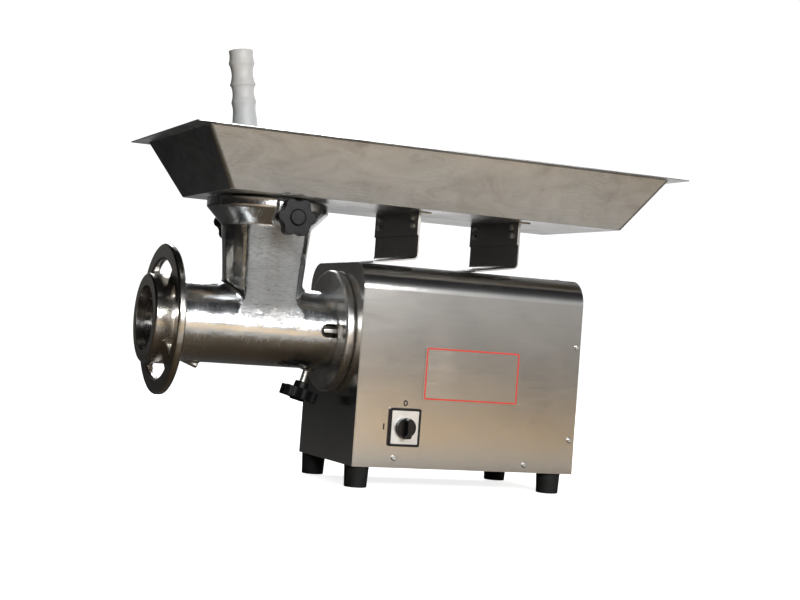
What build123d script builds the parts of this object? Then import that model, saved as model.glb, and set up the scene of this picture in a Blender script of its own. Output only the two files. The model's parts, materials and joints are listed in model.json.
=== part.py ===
from build123d import *
from math import acos, atan2, cos, hypot, pi, radians, sin, sqrt, tan
import os

# Electric meat grinder. Millimetres. X runs along the grinding axis: the outlet is at -X and the
# rear of the motor housing at +X. +Z is up, and the feet stand on Z = 0. The switch is on -Y.

os.makedirs("parts", exist_ok=True)

# ---------------------------------------------------------------- driving dimensions
SHEET = 1.5                 # stainless sheet of the housing and the tray
SLIP = 0.05                 # radial play of a part pressed or dropped into its seat
RUN = 0.06                  # radial play of a running fit
REST = 0.3                  # gap between two parts that only rest on each other

# Motor housing
BOX_FRONT, BOX_REAR = -97.0, 253.0
BOX_HALF = 107.0
BOX_BOTTOM, BOX_TOP = 30.0, 315.0
BOX_CORNER = 36.0
BASE_THICK = 2.0
LIP = 14.0                  # depth of the flanges behind the end panels
FOOT_R = 17.5
FOOT_X = (-81.0, 225.0)
FOOT_Y = 86.0
SIDE_SCREWS = ((-34.0, 44.0), (173.0, 41.0), (245.0, 80.0), (247.0, 217.0))
TOP_SCREWS = ((243.0, 40.0), (243.0, -40.0))
SCREW_R, SCREW_HEAD_R, SCREW_HEAD = 1.9, 4.0, 2.2

# Gear train: three shafts parallel to X, given as (y, z)
OUT_Y, OUT_Z = 0.0, 215.0
MODULE_1, PINION_1, WHEEL_1 = 2.0, 16, 45
MODULE_2, PINION_2, WHEEL_2 = 2.5, 17, 47
CENTRE_1 = MODULE_1 * (PINION_1 + WHEEL_1) / 2
CENTRE_2 = MODULE_2 * (PINION_2 + WHEEL_2) / 2
LAY_Y = 48.0
LAY_Z = OUT_Z - sqrt(CENTRE_2**2 - LAY_Y**2)
MOTOR_Y = 0.0
MOTOR_Z = LAY_Z - sqrt(CENTRE_1**2 - LAY_Y**2)
BACKLASH = 0.4
STAGE_2_X, STAGE_2_WIDE = -80.0, 26.0
STAGE_1_X, STAGE_1_WIDE = -46.0, 20.0

# Gear case and the flange that carries the grinding head
CASE_FRONT, CASE_FLOOR, CASE_REAR, COVER_REAR = BOX_FRONT + SHEET, -86.0, -22.0, -10.0
CASE_WALL = 5.0
CASE_BOLT_R, FLANGE_BOLT_R, BOLT_PLAY = 3.0, 4.0, 0.2
OUT_SHAFT_R, OUT_RACE_R = 17.5, 36.0            # output shaft at its front bearing
OUT_TAIL_R, OUT_TAIL_RACE_R = 12.5, 26.0        # output shaft at its rear bearing
OUT_SEAT_R, SEAL_R = 20.0, 30.0
LAY_SHAFT_R, LAY_RACE_R = 10.0, 21.0
FLANGE_R, FLANGE_FRONT = 88.0, -111.0
NOSE_R, NOSE_FRONT = 44.0, -134.0
SPIGOT_R = 50.0
KEY_TALL, KEY_SLOT_TALL = 6.0, 18.0

# Motor
CAN_R, CAN_FRONT, CAN_REAR = 72.0, 30.0, 165.0
ROTOR_R, CORE_FRONT, CORE_REAR = 39.5, 50.0, 140.0
MOTOR_SHAFT_R, MOTOR_RACE_R = 10.0, 23.5

# Grinding head
BARREL_R, BARREL_BORE = 56.5, 49.0
BARREL_FRONT, BARREL_END, TAIL_END = -364.0, -150.0, -111.0
BUSH_R, JOURNAL_R = 24.0, 20.0
SOCKET_FRONT = -136.0
NECK_X = -211.0
NECK_PROFILE = ((55.5, 215.0), (57.0, 274.0), (64.0, 355.0), (86.5, 379.0), (86.5, 392.5))
NECK_BORE, LEDGE_R, LEDGE_Z = 48.0, 52.2, 349.7
COLLAR_TOP = NECK_PROFILE[-1][1]
KNOB_Z, KNOB_REACH, BOSS_REACH, BOSS_R = 365.0, 113.0, 92.0, 14.0
KNOB_R, LOCK_KNOB_R, LOBE_R, KNOB_CAP_R = 27.0, 27.5, 8.0, 10.5
FAR_KNOB_TURN = 6.0         # the far clamping knob sits this many degrees forward
LOCK_TILT = 15.3            # lean of the lock screw from the vertical
LOCK_X = -134.0

# Ring nut and handwheel
NUT_R, NUT_FRONT, NUT_REAR, NUT_LIP, NUT_MOUTH = 62.0, -378.0, -336.0, -366.0, 45.0
WHEEL_R, WHEEL_BORE, WHEEL_FRONT, WHEEL_THICK = 105.0, 82.5, -358.0, 11.0

# Cutting set
PLATE_R, PLATE_THICK = 48.9, 10.0
FLIGHT_R, SCREW_CORE_R, PITCH = 48.2, 16.0, 58.0
TANG, TANG_SOCKET = 17.4, 18.0
KNIFE_SQUARE = 14.0

# Tray
TRAY_BOTTOM, TRAY_RIM = 395.0, 474.4
TRAY_FLOOR = (-305.0, 302.0, 121.0)
TRAY_MOUTH = (-353.0, 358.0, 157.5)
TRAY_EDGE = (-373.0, 378.0, 177.5)
TRAY_CORNER = 8.0
TUBE_R, TUBE_BORE, TUBE_END = 51.5, 48.0, 350.0
BRACKET_X = (-9.0, 152.0)
BRACKET_HALF, BRACKET_BEND, BRACKET_SEAM = 80.0, 326.0, 361.0
BRACKET_FOOT = 68.0
BRACKET_THICK, BRACKET_FLANGE, BRACKET_BOLT_R = 2.0, 18.0, 2.5

# Pusher
PUSHER_LEAN = 7.8
PUSHER_TOP_X, PUSHER_TOP_Z = -268.3, 601.8
PUSHER_BOTTOM_Z = 270.0

# Switch
SWITCH_X, SWITCH_Z = -22.0, 87.5
SWITCH_WIDE, SWITCH_TALL, SWITCH_THICK = 48.0, 54.0, 3.6
LABEL = (3.0, 155.0, 126.0, 204.0)


# ---------------------------------------------------------------- helpers
def save(piece, name):
    """Label a finished piece and write its file."""
    piece.label = name
    export_step(piece, f"parts/{name}.step")


def across(x):
    """The plane across the shafts at x: its own X is +Y and its own Y is +Z."""
    return Plane.YZ.offset(x)


def turned(profile, y, z):
    """A solid of revolution about the shaft line (y, z), from (x, radius) points."""
    with BuildPart() as solid:
        with BuildSketch(Plane(origin=(0, y, z), x_dir=(1, 0, 0), z_dir=(0, -1, 0))):
            with BuildLine():
                Polyline(*profile, close=True)
            make_face()
        revolve(axis=Axis((0, y, z), (1, 0, 0)))
    return solid.part


def ring(x0, x1, bore, radius, y, z):
    """A plain ring on the shaft line (y, z)."""
    return turned(((x0, bore), (x1, bore), (x1, radius), (x0, radius)), y, z)


def ball_bearing(x0, x1, bore, radius, y, z):
    """A shielded ball bearing, as one ring with the shields set back on both faces."""
    inner = bore + (radius - bore) * 0.25
    outer = bore + (radius - bore) * 0.78
    back = 0.8
    return turned(
        ((x0, bore), (x1, bore), (x1, inner), (x1 - back, inner), (x1 - back, outer), (x1, outer),
         (x1, radius), (x0, radius), (x0, outer), (x0 + back, outer), (x0 + back, inner), (x0, inner)),
        y, z)


def polar(radius, angle):
    """A point from a radius and an angle in radians."""
    return (radius * cos(angle), radius * sin(angle))


def tooth_outline(module, teeth):
    """One involute tooth about the local +X direction, with 20 degrees of pressure angle."""
    pressure = radians(20)
    pitch_r = module * teeth / 2
    base_r = pitch_r * cos(pressure)
    root_r = pitch_r - 1.25 * module
    tip_r = pitch_r + module
    half_tooth = pi / (2 * teeth) - BACKLASH / 4 / pitch_r + tan(pressure) - pressure

    def half_angle(radius):
        roll = acos(min(1.0, base_r / radius))
        return half_tooth - tan(roll) + roll

    start = max(root_r, base_r + 0.01)
    flank = [start + (tip_r - start) * step / 5 for step in range(6)]
    lower = [polar(root_r - 1, -half_angle(start))] + [polar(r, -half_angle(r)) for r in flank]
    upper = [(px, -py) for px, py in reversed(lower)]
    return lower + upper


def spur_gear(x, width, module, teeth, centre, phase, bore, relief=None):
    """A spur gear from x to x + width, with one tooth pointing at the phase angle."""
    root_r = module * teeth / 2 - 1.25 * module
    plane = Plane(origin=(x, *centre), x_dir=(0, cos(phase), sin(phase)), z_dir=(1, 0, 0))
    with BuildPart() as gear:
        with BuildSketch(plane):
            Circle(root_r)
            with PolarLocations(0, teeth):
                Polygon(*tooth_outline(module, teeth), align=None)
            Circle(bore, mode=Mode.SUBTRACT)
        extrude(amount=width)
        if relief:
            with BuildSketch(plane, plane.offset(width - relief)):
                Circle(root_r - 4)
                Circle(bore + 10, mode=Mode.SUBTRACT)
            extrude(amount=relief, mode=Mode.SUBTRACT)
    return gear.part


def star_knob(plane, radius, thick, hub):
    """A six-lobed star knob that faces along the plane's normal, with its hub behind the plane."""
    with BuildPart() as knob:
        with BuildSketch(plane):
            Circle(radius * 0.84)
            with PolarLocations(radius - LOBE_R, 6):
                Circle(LOBE_R)
        extrude(amount=thick)
        with BuildSketch(plane):
            with PolarLocations(radius + 2.5, 6, start_angle=30):
                Circle(LOBE_R)
        extrude(amount=thick, mode=Mode.SUBTRACT)
        with BuildSketch(plane.offset(thick)):
            Circle(KNOB_CAP_R)
        extrude(amount=2.5)
        with BuildSketch(plane):
            Circle(11)
        extrude(amount=-hub, taper=6)
        with BuildSketch(plane.offset(-hub)):
            Circle(4.5)
        extrude(amount=hub + thick * 0.6, mode=Mode.SUBTRACT)
    return knob.part


def stud(plane, start, end, radius):
    """A plain round stud along the plane's normal, with its ends chamfered."""
    with BuildPart() as rod:
        with BuildSketch(plane.offset(start)):
            Circle(radius)
        extrude(amount=end - start)
        chamfer(rod.edges(), 0.6)
    return rod.part


def housing_face(x, inset):
    """The housing's end view at x, drawn in by inset: square below and rounded on top."""
    with BuildSketch(across(x)) as face:
        with Locations((0, BOX_BOTTOM)):
            Rectangle(2 * (BOX_HALF - inset), BOX_TOP - inset - BOX_BOTTOM, align=(Align.CENTER, Align.MIN))
        fillet(face.vertices().group_by(Axis.Y)[-1], BOX_CORNER - inset)
    return face.sketch


# ---------------------------------------------------------------- housing
with BuildPart() as base_plate:
    with BuildSketch(Plane.XY.offset(BOX_BOTTOM)):
        with Locations(((BOX_FRONT + BOX_REAR) / 2, 0)):
            Rectangle(BOX_REAR - BOX_FRONT - 3.4, 2 * BOX_HALF - 3.4)
    extrude(amount=BASE_THICK)
    for side in (-1, 1):
        with BuildSketch(Plane.XY.offset(BOX_BOTTOM + BASE_THICK)):
            with Locations(((BOX_FRONT + BOX_REAR) / 2, side * (BOX_HALF - 2.7))):
                Rectangle(BOX_REAR - BOX_FRONT - 40, 2.0)
        extrude(amount=20)
    with Locations(*[(x, y, BOX_BOTTOM) for x in FOOT_X for y in (-FOOT_Y, FOOT_Y)]):
        Cylinder(3.2, 20, mode=Mode.SUBTRACT)
    with BuildSketch(Plane.XZ):
        with Locations(*SIDE_SCREWS[:2]):
            Circle(SCREW_R + SLIP)
    extrude(amount=BOX_HALF, both=True, mode=Mode.SUBTRACT)
save(base_plate.part, "base_plate")

with BuildPart() as wrap_cover:
    extrude(housing_face(BOX_FRONT + SHEET, 0), amount=BOX_REAR - BOX_FRONT - 2 * SHEET)
    extrude(housing_face(BOX_FRONT + SHEET, SHEET), amount=BOX_REAR - BOX_FRONT - 2 * SHEET, mode=Mode.SUBTRACT)
    with BuildSketch(Plane.XZ):
        with Locations(*SIDE_SCREWS):
            Circle(SCREW_R + SLIP)
    extrude(amount=BOX_HALF, both=True, mode=Mode.SUBTRACT)
    with BuildSketch(Plane.XZ):
        with Locations((SWITCH_X, SWITCH_Z)):
            Circle(12)
    extrude(amount=BOX_HALF, mode=Mode.SUBTRACT)
    with BuildSketch(Plane.XY.offset(BOX_TOP)):
        with Locations(*TOP_SCREWS):
            Circle(SCREW_R + SLIP)
    extrude(amount=-10, mode=Mode.SUBTRACT)
save(wrap_cover.part, "wrap_cover")


def end_panel(x, inward):
    """An end panel with its outer face at x, and the flange that the wrap cover is screwed to."""
    with BuildPart() as panel:
        extrude(housing_face(x, 0), amount=inward * SHEET)
        extrude(housing_face(x + inward * SHEET, SHEET + 0.2), amount=inward * LIP)
        extrude(housing_face(x + inward * SHEET, 2 * SHEET + 0.2), amount=inward * LIP, mode=Mode.SUBTRACT)
        with Locations((x + inward * (SHEET + LIP), 0, BOX_BOTTOM)):
            Box(2 * LIP, 3 * BOX_HALF, 50, mode=Mode.SUBTRACT)
        with BuildSketch(Plane.XZ):
            with Locations(*SIDE_SCREWS):
                Circle(SCREW_R + SLIP)
        extrude(amount=BOX_HALF, both=True, mode=Mode.SUBTRACT)
        with BuildSketch(Plane.XY.offset(BOX_TOP)):
            with Locations(*TOP_SCREWS):
                Circle(SCREW_R + SLIP)
        extrude(amount=-12, mode=Mode.SUBTRACT)
    return panel.part


FLANGE_BOLTS = [(OUT_Y + 56 * cos(radians(a)), OUT_Z + 56 * sin(radians(a))) for a in (20, 110, 200, 260)]

with BuildPart() as front_panel:
    add(end_panel(BOX_FRONT, 1))
    with BuildSketch(across(BOX_FRONT)):
        with Locations((OUT_Y, OUT_Z)):
            Circle(SPIGOT_R + SLIP)
        with Locations(*FLANGE_BOLTS):
            Circle(FLANGE_BOLT_R + BOLT_PLAY)
    extrude(amount=SHEET, mode=Mode.SUBTRACT)
save(front_panel.part, "front_panel")

INLET_Y, INLET_Z, INLET_WIDE, INLET_TALL = 60.0, 62.0, 28.0, 22.0

with BuildPart() as rear_panel:
    add(end_panel(BOX_REAR, -1))
    with BuildSketch(across(BOX_REAR - SHEET)):
        with Locations(*[(0, MOTOR_Z - 35 + 10 * row) for row in range(8)]):
            SlotOverall(84, 4)
        with Locations((INLET_Y, INLET_Z)):
            Rectangle(INLET_WIDE, INLET_TALL)
    extrude(amount=SHEET, mode=Mode.SUBTRACT)
save(rear_panel.part, "rear_panel")

with BuildPart() as power_inlet:
    with BuildSketch(across(BOX_REAR)):
        with Locations((INLET_Y, INLET_Z)):
            RectangleRounded(INLET_WIDE + 12, INLET_TALL + 8, 3)
    extrude(amount=3)
    with BuildSketch(across(BOX_REAR)):
        with Locations((INLET_Y, INLET_Z)):
            Rectangle(INLET_WIDE - 0.4, INLET_TALL - 0.4)
    extrude(amount=-24)
    with BuildSketch(across(BOX_REAR + 3)):
        with Locations((INLET_Y, INLET_Z)):
            RectangleRounded(INLET_WIDE - 4, INLET_TALL - 5, 2.5)
    extrude(amount=-20, mode=Mode.SUBTRACT)
    with BuildSketch(across(BOX_REAR - 18)):
        with Locations((INLET_Y - 7, INLET_Z - 2), (INLET_Y, INLET_Z + 2), (INLET_Y + 7, INLET_Z - 2)):
            Rectangle(2, 4)
    extrude(amount=14)
save(power_inlet.part, "power_inlet")

with BuildPart() as rubber_feet:
    for x in FOOT_X:
        for y in (-FOOT_Y, FOOT_Y):
            with Locations((x, y, 0)):
                Cone(FOOT_R - 1.5, FOOT_R, BOX_BOTTOM, align=(Align.CENTER, Align.CENTER, Align.MIN))
            with Locations((x, y, 0)):
                Cylinder(7, 24, mode=Mode.SUBTRACT)
                Cylinder(3.2, 3 * BOX_BOTTOM, mode=Mode.SUBTRACT)
    fillet(rubber_feet.edges().filter_by(GeomType.CIRCLE).group_by(Axis.Z)[0].filter_by(
        lambda edge: edge.radius > 10), 1.5)
save(rubber_feet.part, "rubber_feet")

with BuildPart() as foot_screws:
    for x in FOOT_X:
        for y in (-FOOT_Y, FOOT_Y):
            with Locations((x, y, 12)):
                Cylinder(5.5, 4, align=(Align.CENTER, Align.CENTER, Align.MAX))
                Cylinder(3.0, 28, align=(Align.CENTER, Align.CENTER, Align.MIN))
            with BuildSketch(Plane.XY.offset(BOX_BOTTOM + BASE_THICK)):
                with Locations((x, y)):
                    RegularPolygon(5.6, 6)
            extrude(amount=5)
save(foot_screws.part, "foot_screws")


def pan_head(plane, shank):
    """A pan-head screw with its head standing on the plane and its shank behind it."""
    with BuildPart() as screw:
        with BuildSketch(plane):
            Circle(SCREW_HEAD_R)
        extrude(amount=SCREW_HEAD)
        fillet(screw.edges().sort_by(lambda edge: plane.to_local_coords(edge.center()).Z)[-1], 1.3)
        with BuildSketch(plane.offset(SCREW_HEAD)):
            Rectangle(4.4, 0.9)
            Rectangle(0.9, 4.4)
        extrude(amount=-1.2, mode=Mode.SUBTRACT)
        with BuildSketch(plane):
            Circle(SCREW_R)
        extrude(amount=-shank)
    return screw.part


with BuildPart() as housing_screws:
    for x, z in SIDE_SCREWS:
        add(pan_head(Plane(origin=(x, -BOX_HALF, z), x_dir=(1, 0, 0), z_dir=(0, -1, 0)), 7))
        add(pan_head(Plane(origin=(x, BOX_HALF, z), x_dir=(1, 0, 0), z_dir=(0, 1, 0)), 7))
    for x, y in TOP_SCREWS:
        add(pan_head(Plane(origin=(x, y, BOX_TOP), x_dir=(1, 0, 0), z_dir=(0, 0, 1)), 7))
save(housing_screws.part, "housing_screws")

with BuildPart() as side_label:
    with BuildSketch(Plane.XZ.offset(BOX_HALF)):
        with Locations(((LABEL[0] + LABEL[1]) / 2, (LABEL[2] + LABEL[3]) / 2)):
            RectangleRounded(LABEL[1] - LABEL[0], LABEL[3] - LABEL[2], 3)
    extrude(amount=0.5)
save(side_label.part, "side_label")

# ---------------------------------------------------------------- switch
FACE = Plane(origin=(SWITCH_X, -BOX_HALF, SWITCH_Z), x_dir=(1, 0, 0), z_dir=(0, -1, 0))

with BuildPart() as switch_bezel:
    with BuildSketch(FACE):
        RectangleRounded(SWITCH_WIDE, SWITCH_TALL, 3)
    extrude(amount=SWITCH_THICK)
    with BuildSketch(FACE.offset(SWITCH_THICK)):
        RectangleRounded(SWITCH_WIDE - 7, SWITCH_TALL - 7, 1.5)
    extrude(amount=-0.8, mode=Mode.SUBTRACT)
    with BuildSketch(FACE):
        Circle(12)
    extrude(amount=SWITCH_THICK, mode=Mode.SUBTRACT)
save(switch_bezel.part, "switch_bezel")

with BuildPart() as switch_legend:
    with BuildSketch(FACE.offset(SWITCH_THICK - 0.8)):
        RectangleRounded(SWITCH_WIDE - 7.2, SWITCH_TALL - 7.2, 1.4)
        Circle(12, mode=Mode.SUBTRACT)
    extrude(amount=0.6)
save(switch_legend.part, "switch_legend")

with BuildPart() as switch_body:
    with BuildSketch(FACE.offset(-SHEET)):
        Rectangle(42, 42)
    extrude(amount=-42)
    with BuildSketch(FACE.offset(-SHEET)):
        Circle(11.8)
    extrude(amount=SWITCH_THICK + SHEET - 0.8)
    with BuildSketch(FACE.offset(-SHEET - 24)):
        Circle(4 + RUN)
    extrude(amount=60, mode=Mode.SUBTRACT)
save(switch_body.part, "switch_body")

with BuildPart() as switch_knob:
    with BuildSketch(FACE.offset(SWITCH_THICK + REST)):
        Circle(14.5)
    extrude(amount=7, taper=4)
    with BuildSketch(FACE.offset(SWITCH_THICK + REST)):
        with Locations((0, -1)):
            SlotOverall(31, 9.5, rotation=90)
    extrude(amount=18, taper=5)
    with BuildSketch(FACE.offset(SWITCH_THICK + REST)):
        Circle(4)
    extrude(amount=-22)
save(switch_knob.part, "switch_knob")

# ---------------------------------------------------------------- drive flange and gear case
with BuildPart() as drive_flange:
    add(turned(
        ((NOSE_FRONT, SEAL_R), (NOSE_FRONT, NOSE_R), (FLANGE_FRONT, NOSE_R), (FLANGE_FRONT, FLANGE_R),
         (BOX_FRONT, FLANGE_R), (BOX_FRONT, SPIGOT_R), (-88, SPIGOT_R), (-88, OUT_RACE_R + SLIP),
         (-112, OUT_RACE_R + SLIP), (-112, SEAL_R)),
        OUT_Y, OUT_Z))
    fillet(drive_flange.edges().filter_by(GeomType.CIRCLE).filter_by(
        lambda edge: edge.radius > FLANGE_R - 1), 4)
    with Locations((FLANGE_FRONT, -70, OUT_Z)):
        Box(6, 30, KEY_SLOT_TALL, mode=Mode.SUBTRACT)
    with BuildSketch(across(-86)):
        with Locations(*FLANGE_BOLTS):
            Circle(FLANGE_BOLT_R + SLIP)
    extrude(amount=-18, mode=Mode.SUBTRACT)
save(drive_flange.part, "drive_flange")

with BuildPart() as flange_key:
    with BuildSketch(across(-133)):
        with Locations((-48.5, OUT_Z)):
            Rectangle(16, KEY_TALL)
    extrude(amount=21.5)
    with Locations((-122, 0, OUT_Z)):
        Cylinder(NOSE_R + SLIP, 60, rotation=(0, 90, 0), mode=Mode.SUBTRACT)
    fillet(flange_key.edges().group_by(Axis.Y)[0], 1)
save(flange_key.part, "flange_key")


def case_face(x, radii, bosses=()):
    """The band round the three shafts at x, with a boss round each bolt."""
    places = ((OUT_Y, OUT_Z), (LAY_Y, LAY_Z), (MOTOR_Y, MOTOR_Z))
    with BuildSketch(across(x)) as face:
        for place, radius in zip(places, radii):
            with Locations(place):
                Circle(radius)
        for first, second in ((0, 1), (1, 2), (0, 2)):
            (y0, z0), (y1, z1) = places[first], places[second]
            r0, r1 = radii[first], radii[second]
            along = atan2(z1 - z0, y1 - y0)
            lean = acos((r0 - r1) / hypot(y1 - y0, z1 - z0))
            corners = []
            for y, z, radius, side in ((y0, z0, r0, 1), (y1, z1, r1, 1), (y1, z1, r1, -1), (y0, z0, r0, -1)):
                step = polar(radius, along + side * lean)
                corners.append((y + step[0], z + step[1]))
            Polygon(*corners, align=None)
        if bosses:
            with Locations(*bosses):
                Circle(8)
    return face.sketch


CAVITY_RADII = (64.0, 49.2, 22.0)
OUTER_RADII = tuple(radius + CASE_WALL for radius in CAVITY_RADII)
CASE_BOLTS = [(OUT_Y + 72 * cos(radians(a)), OUT_Z + 72 * sin(radians(a))) for a in (60, 120, 185)]
CASE_BOLTS += [(MOTOR_Y + 34 * cos(radians(a)), MOTOR_Z + 34 * sin(radians(a))) for a in (200, 290)]
CASE_BOLTS += [(LAY_Y + 57.5 * cos(radians(-70)), LAY_Z + 57.5 * sin(radians(-70)))]

with BuildPart() as gear_case:
    extrude(case_face(CASE_FRONT, OUTER_RADII, CASE_BOLTS), amount=CASE_REAR - CASE_FRONT)
    with Locations((-60, 0, BOX_BOTTOM + BASE_THICK)):
        Box(56, 60, 58, align=(Align.CENTER, Align.CENTER, Align.MIN))
    extrude(case_face(CASE_FLOOR, CAVITY_RADII), amount=CASE_REAR - CASE_FLOOR, mode=Mode.SUBTRACT)
    with Locations((-60, 0, BOX_BOTTOM + BASE_THICK)):
        Box(40, 44, 80, mode=Mode.SUBTRACT)
    add(ring(CASE_FRONT, -81, LAY_RACE_R, LAY_RACE_R + CASE_WALL, LAY_Y, LAY_Z))
    with BuildSketch(across(-93)):
        with Locations((LAY_Y, LAY_Z)):
            Circle(LAY_RACE_R + SLIP)
    extrude(amount=12, mode=Mode.SUBTRACT)
    with BuildSketch(across(CASE_FRONT)):
        with Locations((OUT_Y, OUT_Z)):
            Circle(SPIGOT_R + SLIP)
    extrude(amount=-88 - CASE_FRONT, mode=Mode.SUBTRACT)
    with BuildSketch(across(CASE_FRONT)):
        with Locations((OUT_Y, OUT_Z)):
            Circle(42)
        with Locations(*FLANGE_BOLTS):
            Circle(FLANGE_BOLT_R + BOLT_PLAY)
    extrude(amount=CASE_FLOOR - CASE_FRONT, mode=Mode.SUBTRACT)
    with BuildSketch(across(CASE_REAR)):
        with Locations(*CASE_BOLTS):
            Circle(CASE_BOLT_R + SLIP)
    extrude(amount=-22, mode=Mode.SUBTRACT)
save(gear_case.part, "gear_case")

with BuildPart() as gear_case_cover:
    extrude(case_face(CASE_REAR, OUTER_RADII, CASE_BOLTS), amount=COVER_REAR - CASE_REAR)
    add(ring(-34, CASE_REAR, 12, OUT_TAIL_RACE_R + CASE_WALL, OUT_Y, OUT_Z))
    add(ring(-24, CASE_REAR, 12, LAY_RACE_R + CASE_WALL, LAY_Y, LAY_Z))
    with BuildSketch(across(-34)):
        with Locations((OUT_Y, OUT_Z)):
            Circle(OUT_TAIL_RACE_R + SLIP)
    extrude(amount=17, mode=Mode.SUBTRACT)
    with BuildSketch(across(-24)):
        with Locations((LAY_Y, LAY_Z)):
            Circle(LAY_RACE_R + SLIP)
    extrude(amount=11, mode=Mode.SUBTRACT)
    with BuildSketch(across(CASE_REAR)):
        with Locations((MOTOR_Y, MOTOR_Z)):
            Circle(20 + SLIP)
        with Locations(*CASE_BOLTS):
            Circle(CASE_BOLT_R + SLIP)
    extrude(amount=COVER_REAR - CASE_REAR, mode=Mode.SUBTRACT)
save(gear_case_cover.part, "gear_case_cover")

with BuildPart() as gear_case_bolts:
    for y, z in FLANGE_BOLTS:
        with BuildSketch(across(-103)):
            with Locations((y, z)):
                Circle(FLANGE_BOLT_R)
        extrude(amount=CASE_FLOOR + 103)
        with BuildSketch(across(CASE_FLOOR)):
            with Locations((y, z)):
                RegularPolygon(6.6, 6)
        extrude(amount=5)
    for y, z in CASE_BOLTS:
        with BuildSketch(across(-40)):
            with Locations((y, z)):
                Circle(CASE_BOLT_R)
        extrude(amount=COVER_REAR + 40)
        with BuildSketch(across(COVER_REAR)):
            with Locations((y, z)):
                RegularPolygon(5.2, 6)
        extrude(amount=4)
save(gear_case_bolts.part, "gear_case_bolts")

# ---------------------------------------------------------------- shafts, gears and bearings
TO_LAY = atan2(LAY_Z - OUT_Z, LAY_Y - OUT_Y)
TO_WHEEL = atan2(LAY_Z - MOTOR_Z, LAY_Y - MOTOR_Y)

with BuildPart() as output_shaft:
    add(turned(
        ((-130, 0), (-130, OUT_SHAFT_R), (-94.5, OUT_SHAFT_R), (-94.5, OUT_SEAT_R), (-52, OUT_SEAT_R),
         (-52, OUT_TAIL_R), (-18, OUT_TAIL_R), (-18, 0)),
        OUT_Y, OUT_Z))
    with BuildSketch(across(-130)):
        with Locations((OUT_Y, OUT_Z)):
            Rectangle(TANG_SOCKET, TANG_SOCKET)
    extrude(amount=22, mode=Mode.SUBTRACT)
save(output_shaft.part, "output_shaft")

output_gear = spur_gear(STAGE_2_X, STAGE_2_WIDE, MODULE_2, WHEEL_2, (OUT_Y, OUT_Z), TO_LAY,
                        OUT_SEAT_R + SLIP, 8)
save(output_gear, "output_gear")
lay_pinion = spur_gear(STAGE_2_X, STAGE_2_WIDE, MODULE_2, PINION_2, (LAY_Y, LAY_Z),
                       TO_LAY + pi + pi / PINION_2, LAY_SHAFT_R + SLIP)
save(lay_pinion, "lay_pinion")
lay_gear = spur_gear(STAGE_1_X, STAGE_1_WIDE, MODULE_1, WHEEL_1, (LAY_Y, LAY_Z),
                     TO_WHEEL + pi + pi / WHEEL_1, LAY_SHAFT_R + SLIP, 6)
save(lay_gear, "lay_gear")
motor_pinion = spur_gear(STAGE_1_X, STAGE_1_WIDE, MODULE_1, PINION_1, (MOTOR_Y, MOTOR_Z),
                         TO_WHEEL, MOTOR_SHAFT_R + SLIP)
save(motor_pinion, "motor_pinion")

lay_shaft = turned(
    ((-92, 0), (-92, LAY_SHAFT_R), (-53, LAY_SHAFT_R), (-53, 12), (-47, 12), (-47, LAY_SHAFT_R),
     (-14, LAY_SHAFT_R), (-14, 0)),
    LAY_Y, LAY_Z)
save(lay_shaft, "lay_shaft")

with BuildPart() as ball_bearings:
    add(ball_bearing(-111.5, -95, OUT_SHAFT_R + RUN, OUT_RACE_R, OUT_Y, OUT_Z))
    add(ball_bearing(-33, -18, OUT_TAIL_R + RUN, OUT_TAIL_RACE_R, OUT_Y, OUT_Z))
    add(ball_bearing(-92.5, -81.5, LAY_SHAFT_R + RUN, LAY_RACE_R, LAY_Y, LAY_Z))
    add(ball_bearing(-23.5, -13.5, LAY_SHAFT_R + RUN, LAY_RACE_R, LAY_Y, LAY_Z))
    add(ball_bearing(14.5, 28.5, MOTOR_SHAFT_R + RUN, MOTOR_RACE_R, MOTOR_Y, MOTOR_Z))
    add(ball_bearing(167, 181, MOTOR_SHAFT_R + RUN, MOTOR_RACE_R, MOTOR_Y, MOTOR_Z))
save(ball_bearings.part, "ball_bearings")

shaft_seal = turned(
    ((-126, OUT_SHAFT_R + RUN), (-122, OUT_SHAFT_R + RUN), (-122, 22), (-118, 22), (-118, OUT_SHAFT_R + RUN),
     (-115, OUT_SHAFT_R + RUN), (-115, SEAL_R - SLIP), (-126, SEAL_R - SLIP)),
    OUT_Y, OUT_Z)
save(shaft_seal, "shaft_seal")

# ---------------------------------------------------------------- motor
motor_can = ring(CAN_FRONT, CAN_REAR, CAN_R - 3, CAN_R, MOTOR_Y, MOTOR_Z)
save(motor_can, "motor_can")

motor_front_bell = turned(
    ((-16, 13), (-16, 20), (COVER_REAR, 20), (COVER_REAR, 24), (12, 24), (16, CAN_R), (CAN_FRONT, CAN_R),
     (CAN_FRONT, 66), (20, 60), (20, 26), (CAN_FRONT, 26), (CAN_FRONT, MOTOR_RACE_R + SLIP),
     (14, MOTOR_RACE_R + SLIP), (14, 13)),
    MOTOR_Y, MOTOR_Z)
save(motor_front_bell, "motor_front_bell")

motor_rear_bell = turned(
    ((CAN_REAR, 66), (CAN_REAR, CAN_R), (180, CAN_R), (184, 60), (184, 13), (181.5, 13),
     (181.5, MOTOR_RACE_R + SLIP), (CAN_REAR, MOTOR_RACE_R + SLIP), (CAN_REAR, 26), (176, 26), (176, 60)),
    MOTOR_Y, MOTOR_Z)
save(motor_rear_bell, "motor_rear_bell")

with BuildPart() as stator_core:
    add(ring(CORE_FRONT, CORE_REAR, ROTOR_R + 0.8, CAN_R - 3 - SLIP, MOTOR_Y, MOTOR_Z))
    with BuildSketch(across(CORE_FRONT)):
        with Locations((MOTOR_Y, MOTOR_Z)):
            with PolarLocations(ROTOR_R + 9, 24):
                SlotOverall(14, 5)
    extrude(amount=CORE_REAR - CORE_FRONT, mode=Mode.SUBTRACT)
save(stator_core.part, "stator_core")

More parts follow.
